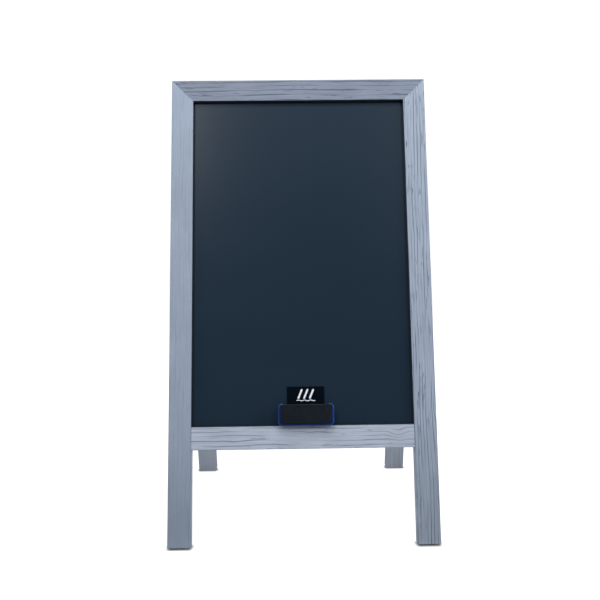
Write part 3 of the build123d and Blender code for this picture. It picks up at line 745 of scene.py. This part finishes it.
# %% [markdown]
# ## The felt pad
# Pressed felt is cut from the roll in two plies and glued, so its sides show a fine seam half way. Its
# edge is rolled over and its face is never quite flat. The loops run in from the rim to the middle,
# which gives the face enough points for a nap that is made in the mesh.

# %% Cut the felt
# All in mm: the corner, how deep it sits in the bed, how far its sides are drawn in above the bed, the
# seam's depth and reach, and the height of the rolled edge.
FELT_CORNER, IN_BED, DRAWN_IN, SEAM_DEPTH, SEAM_REACH, EDGE_ROLL = 3.0, 2.0, 0.25, 0.35, 0.35, 1.1
NAP_INSET = 2.1


def felt_loop(inset, n, rough):
    """One loop of the pad, roughened by a seeded noise along its own outline."""
    # wobble is the nap, about a millimetre across; coarse is the slow unevenness of the face.
    shrink = min(inset, felt_size[1] / 2 - 0.8)
    loop = rounded_loop(felt_size[0] - 2 * shrink, felt_size[1] - 2 * shrink, max(0.6, FELT_CORNER - shrink),
                        felt_centre, n, edge_steps=(90, 26))
    for point in loop:
        wobble = noise.noise(Vector((point.x * 0.9, point.y * 0.9, n * 0.9 + 7.0)))
        coarse = noise.noise(Vector((point.x * 0.12, point.y * 0.12, n * 0.3)))
        sideways = Vector((point.x - felt_centre[0], point.y - felt_centre[1], 0.0)).normalized()
        point += sideways * rough * wobble
        if inset > 0.9:
            point.z += 0.10 * wobble + 0.16 * coarse - 0.18
    return loop


felt_back, felt_front = felt_low[2], felt_high[2]
seam_height = felt_back + (felt_front - felt_back) * 0.55
bed_top = felt_back + IN_BED
felt_loops = [felt_loop(0.05, felt_back, 0.0), felt_loop(0.05, bed_top, 0.0)]
for step in range(1, 9):
    n = bed_top + step * (felt_front - EDGE_ROLL - bed_top) / 8
    seam = SEAM_DEPTH * exp(-((n - seam_height) / SEAM_REACH) ** 2)
    felt_loops.append(felt_loop(DRAWN_IN + seam, n, 0.16))
for inset, drop in ((0.45, 0.7), (0.85, 0.35), (1.4, 0.12), (NAP_INSET, 0.05)):
    felt_loops.append(felt_loop(inset, felt_front - drop, 0.1))
for step in range(1, 15):
    felt_loops.append(felt_loop(NAP_INSET + step * 1.05, felt_front - 0.02, 0.0))
pad = join_loops("felt_pad", felt_loops, [felt], bench_to_room("front"))
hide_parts("eraser_felt")
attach(pad, "eraser")
print("felt faces:", len(pad.data.polygons))

# %% [markdown]
# ## The card
# A piece of coated board with rounded corners is held behind the eraser. Its print is a plain sign for
# chalk, three slanted sticks over the line they have drawn, laid on as a thin film of white ink that
# stands just proud of the card.

# %% Cut and print the card
card_low, card_high = flat_box("printed_card", "front")
card_size = [card_high[axis] - card_low[axis] for axis in range(3)]
card_centre = [(card_high[axis] + card_low[axis]) / 2 for axis in range(3)]
INK, CARD_CORNER, EASED = 0.03, 1.5, 0.06


def card_loop(inset, n):
    """One loop of the card."""
    return rounded_loop(card_size[0] - 2 * inset, card_size[1] - 2 * inset, CARD_CORNER - inset,
                        card_centre, n)


card_face = card_high[2] - INK
card_loops = [card_loop(EASED, card_low[2]), card_loop(0.0, card_low[2] + EASED),
              card_loop(0.0, card_face - EASED), card_loop(EASED, card_face)]
card = join_loops("chalk_card", card_loops, [coated_card, white_ink], bench_to_room("front"))
print("card is", [round(size, 1) for size in card_size], "mm")


def round_end(centre, heading, width):
    """The half circle that ends a stroke of ink."""
    turn = [heading - pi / 2 + step * pi / 6 for step in range(1, 6)]
    return [(centre[0] + width / 2 * cos(a), centre[1] + width / 2 * sin(a)) for a in turn]


def ink_stroke(points, width):
    """The outline of a round-ended stroke that follows some points, a little uneven like chalk."""
    left, right = [], []
    for index, point in enumerate(points):
        before = points[max(index - 1, 0)]
        after = points[min(index + 1, len(points) - 1)]
        run = Vector((after[0] - before[0], after[1] - before[1])).normalized()
        swell = width / 2 * (1.0 + 0.12 * noise.noise(Vector((point[0], point[1], 3.0))))
        left.append((point[0] - run.y * swell, point[1] + run.x * swell))
        right.append((point[0] + run.y * swell, point[1] - run.x * swell))
    first = atan2(points[1][1] - points[0][1], points[1][0] - points[0][0])
    last = atan2(points[-1][1] - points[-2][1], points[-1][0] - points[-2][0])
    return right + round_end(points[-1], last, width) + left[::-1] + round_end(points[0], first + pi, width)


# %% Print the sign
# All in flat mm: how far the ink is sunk in the card, where the sticks stand and how they lean, and the
# wavy line under them.
SUNK = 0.02
STICKS, STICK_FOOT, STICK_HEIGHT, STICK_LEAN, STICK_WIDTH = (-4.5, 6.5, 17.5), 272.2, 15.2, 6.4, 3.6
LINE_START, LINE_LENGTH, LINE_FOOT, LINE_WAVE, LINE_WIDTH = -11.0, 35.0, 267.4, 0.8, 1.5
strokes = []
for stick_x in STICKS:
    stick = [(stick_x + STICK_LEAN * (part / 6 - 0.5), STICK_FOOT + STICK_HEIGHT * part / 6)
             for part in range(7)]
    strokes.append(ink_stroke(stick, STICK_WIDTH))
drawn = [(LINE_START + LINE_LENGTH * part / 30, LINE_FOOT + LINE_WAVE * sin(part * 0.62))
         for part in range(31)]
strokes.append(ink_stroke(drawn, LINE_WIDTH))

film = bmesh.new()
for outline in strokes:
    join_rows(film, [[film.verts.new((x, u, n)) for x, u in outline]
                     for n in (card_face - SUNK, card_high[2])])
for face in film.faces:
    face.material_index = 1
film.transform(bench_to_room("front"))
bmesh.ops.recalc_face_normals(film, faces=film.faces)
film.from_mesh(card.data)
film.to_mesh(card.data)
film.free()
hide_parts("printed_card")
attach(card, "card")
print("card faces:", len(card.data.polygons), "strokes:", len(strokes))

# %% [markdown]
# ## Spread straps
# Each strap is 20 mm webbing, screwed to the inner face of both bottom rails and pulled straight when
# the board stands. It is woven in the mesh: the warp yarns run along it, the weft crosses them, and the
# crowns rise and fall in a chequer, with a tight rolled selvedge at both edges. A real 1.2 mm webbing
# has yarns about 1.2 mm apart; here they are 1.6 mm, so that the weave still shows from a step away.
# When the frames fold the strap has nowhere to go but into the narrow gap between them; it rides on the
# front frame.

# %% The strap's route
# All in mm: the webbing, its bends and yarns, how high on the rail it turns and ends, and how far it stands
# off the rail.
STRAP_THICK, STRAP_BEND, YARN = 1.2, 3.0, 1.6
STRAP_TURN, STRAP_TAIL, STRAP_GAP = 204.5, 183.5, 0.2
ROUTE_STEP = YARN / 2
strap_low, strap_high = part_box("left_spread_strap")
strap_half_width = (strap_high.x - strap_low.x) / MM / 2
strap_middle = -STRAP_GAP - STRAP_THICK / 2
front_end = bench_to_room("front") @ Vector((0.0, STRAP_TURN, strap_middle))


def strap_route(step):
    """Evenly spaced points along the middle of the strap, in room millimetres (y, z)."""
    tail = bench_to_room("front") @ Vector((0.0, STRAP_TAIL, strap_middle)) / MM
    turn = front_end / MM
    corners = [(tail.y, tail.z), (turn.y, turn.z), (-turn.y, turn.z), (-tail.y, tail.z)]
    line = [Vector(corners[0])]
    for index in (1, 2):
        corner = Vector(corners[index])
        arriving = (corner - Vector(corners[index - 1])).normalized()
        leaving = (Vector(corners[index + 1]) - corner).normalized()
        angle = arriving.angle(leaving)
        cut = STRAP_BEND * tan(angle / 2)
        first, last = corner - arriving * cut, corner + leaving * cut
        for step_round in range(9):
            t = step_round / 8
            line.append((1 - t) ** 2 * first + 2 * t * (1 - t) * corner + t * t * last)
    line.append(Vector(corners[3]))
    spaced, left_over = [line[0]], 0.0
    for before, after in zip(line, line[1:]):
        run = (after - before).length
        travelled = step - left_over
        while travelled <= run:
            spaced.append(before.lerp(after, travelled / run))
            travelled += step
        left_over = run - (travelled - step)
    return spaced


route = strap_route(ROUTE_STEP)


# %% Weave the straps
# All in mm: the selvedge's width, the crowns' height, and how far the faces lie below the full
# thickness so that the crowns stay inside it. The last two are shares of the thickness.
SELVEDGE, CROWN, FACE_DROP = 1.3, 0.13, 0.16
SELVEDGE_THINNED, END_PRESSED = 0.35, 0.6


def weave_strap(name, centre_x, node):
    """A closed band with chequered yarn crowns on both faces."""
    columns = 27
    bm = bmesh.new()
    rings = []
    for index, point in enumerate(route):
        before = route[max(index - 1, 0)]
        after = route[min(index + 1, len(route) - 1)]
        run = (after - before).normalized()
        out = Vector((-run.y, run.x))
        ring = []
        for face in (1, -1):
            order = range(columns) if face > 0 else range(columns - 1, -1, -1)
            for column in order:
                across = (column / (columns - 1) * 2 - 1) * strap_half_width
                edge = max(0.0, (abs(across) - strap_half_width + SELVEDGE) / SELVEDGE)
                crown = cos(pi * index * ROUTE_STEP / YARN) * cos(pi * across / YARN) * face
                thick = STRAP_THICK / 2 - FACE_DROP + CROWN * crown * (1 - edge)
                thick *= 1 - SELVEDGE_THINNED * edge ** 2
                if index in (0, len(route) - 1):
                    thick *= END_PRESSED
                spot = point + out * thick * face
                ring.append(bm.verts.new((centre_x + across, spot.x, spot.y)))
        rings.append(ring)
    join_rows(bm, rings)
    strap = finish_mesh(name, bm, [webbing], Matrix.Scale(MM, 4), crease=75.0)
    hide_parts(node)
    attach(strap, "front_frame")
    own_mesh(strap)
    return strap


straps = [
    weave_strap("left_webbing_strap", (strap_low.x + strap_high.x) / MM / 2, "left_spread_strap"),
    weave_strap("right_webbing_strap", -(strap_low.x + strap_high.x) / MM / 2, "right_spread_strap"),
]
print("straps:", [len(strap.data.polygons) for strap in straps], "faces")

# %% [markdown]
# ## The studio
# A plain white floor under broad soft lights. To the camera the floor glows like a light table: it is
# white right up to the feet, and the closest shadows round them are painted into that glow. To
# everything else it is a grey floor with a bright patch under the board, which lights the rear legs from
# below. A softbox high on the left gives the slate its soft glow in that corner, one on the right
# balances it, a bank on each side fills the stiles, and the ones overhead and behind wash the timber.
# The surround is white to the camera and almost dark to everything else, so the painted steel has little
# to mirror.

# %% Floor and surround
table_top = bmesh.new()
bmesh.ops.create_grid(table_top, x_segments=8, y_segments=8, size=14.0)
floor_finish, floor_tree, floor_shader = start_finish(
    "white_light_table", Roughness=0.9, Specular_IOR_Level=0.0, Base_Color=(0.3, 0.3, 0.3, 1.0),
    Emission_Color=(1.0, 1.0, 1.0, 1.0))
# away and open_air make what the camera sees; open_air darkens the glow under and right beside the feet,
# a painted contact shadow. patch is what the light from the floor does to the legs.
seen = add(floor_tree, "LightPath", {}, "Is Camera Ray")
spot = add(floor_tree, "TexCoord", {}, "Object")
distance = add(floor_tree, "VectorMath", {0: spot}, "Value", operation="LENGTH")
away = add(floor_tree, "MapRange", {"Value": distance, "From Min": 0.7, "From Max": 3.0,
                                    "To Min": 0.86, "To Max": 1.0})
open_air = add(floor_tree, "AmbientOcclusion", {"Distance": 0.0065}, "AO", samples=8)
open_air = add(floor_tree, "Math", {0: open_air, 1: 3.0}, operation="POWER")
glow = add(floor_tree, "Math", {0: seen, 1: away}, operation="MULTIPLY")
glow = add(floor_tree, "Math", {0: glow, 1: open_air}, operation="MULTIPLY")
patch = add(floor_tree, "MapRange", {"Value": distance, "From Min": 0.38, "From Max": 0.15, "To Max": 1.15})
unseen = add(floor_tree, "Math", {0: 1.0, 1: seen}, operation="SUBTRACT")
patch = add(floor_tree, "Math", {0: patch, 1: unseen}, operation="MULTIPLY")
glow = add(floor_tree, "Math", {0: glow, 1: patch}, operation="ADD")
plug(floor_tree, floor_shader, Emission_Strength=glow)
FLOOR_DROP = 0.4 * MM
floor = finish_mesh("studio_floor", table_top, [floor_finish], Matrix.Translation((0.0, 0.0, -FLOOR_DROP)))

scene = bpy.context.scene
scene.view_settings.view_transform = "Standard"
world = bpy.data.worlds.new("studio_surround")
world.use_nodes = True
scene.world = world
surround = world.node_tree.nodes["Background"]
seen = add(world.node_tree, "LightPath", {}, "Is Camera Ray")
level = add(world.node_tree, "MapRange", {"Value": seen, "To Min": 0.02, "To Max": 1.05})
world.node_tree.links.new(level, surround.inputs["Strength"])
surround.inputs["Color"].default_value = (1.0, 1.0, 1.0, 1.0)
print("floor and surround ready")


# %% Soft lights
def softbox(name, at, towards, size, watts):
    """A rectangular soft light at one point, aimed at another, both in metres."""
    lamp = bpy.data.lights.new(name, "AREA")
    lamp.shape = "RECTANGLE"
    lamp.size, lamp.size_y = size
    lamp.energy = watts
    holder = bpy.data.objects.new(name, lamp)
    facing = (Vector(towards) - Vector(at)).to_track_quat("-Z", "Y")
    holder.matrix_world = Matrix.Translation(at) @ facing.to_matrix().to_4x4()
    holder.visible_camera = False
    scene.collection.objects.link(holder)


softbox("high_left", (-1.2, -1.88, 2.3), (0.0, 0.0, 0.6), (0.7, 0.7), 23)
softbox("high_right", (1.6, -1.8, 2.3), (0.0, 0.0, 0.6), (0.7, 0.7), 27)
softbox("left_bank", (-2.4, -0.9, 1.2), (0.0, 0.0, 0.5), (1.0, 1.6), 14)
softbox("right_bank", (2.4, -0.9, 1.1), (0.0, 0.0, 0.4), (1.0, 1.6), 24)
softbox("top_key", (0.0, -0.95, 2.7), (0.0, -0.1, 0.3), (1.5, 0.6), 31)
softbox("over_back", (0.0, 0.9, 2.8), (0.0, 0.3, 0.0), (2.6, 2.0), 40)
softbox("behind", (0.3, 2.3, 1.6), (0.0, 0.0, 0.5), (2.4, 1.6), 42)
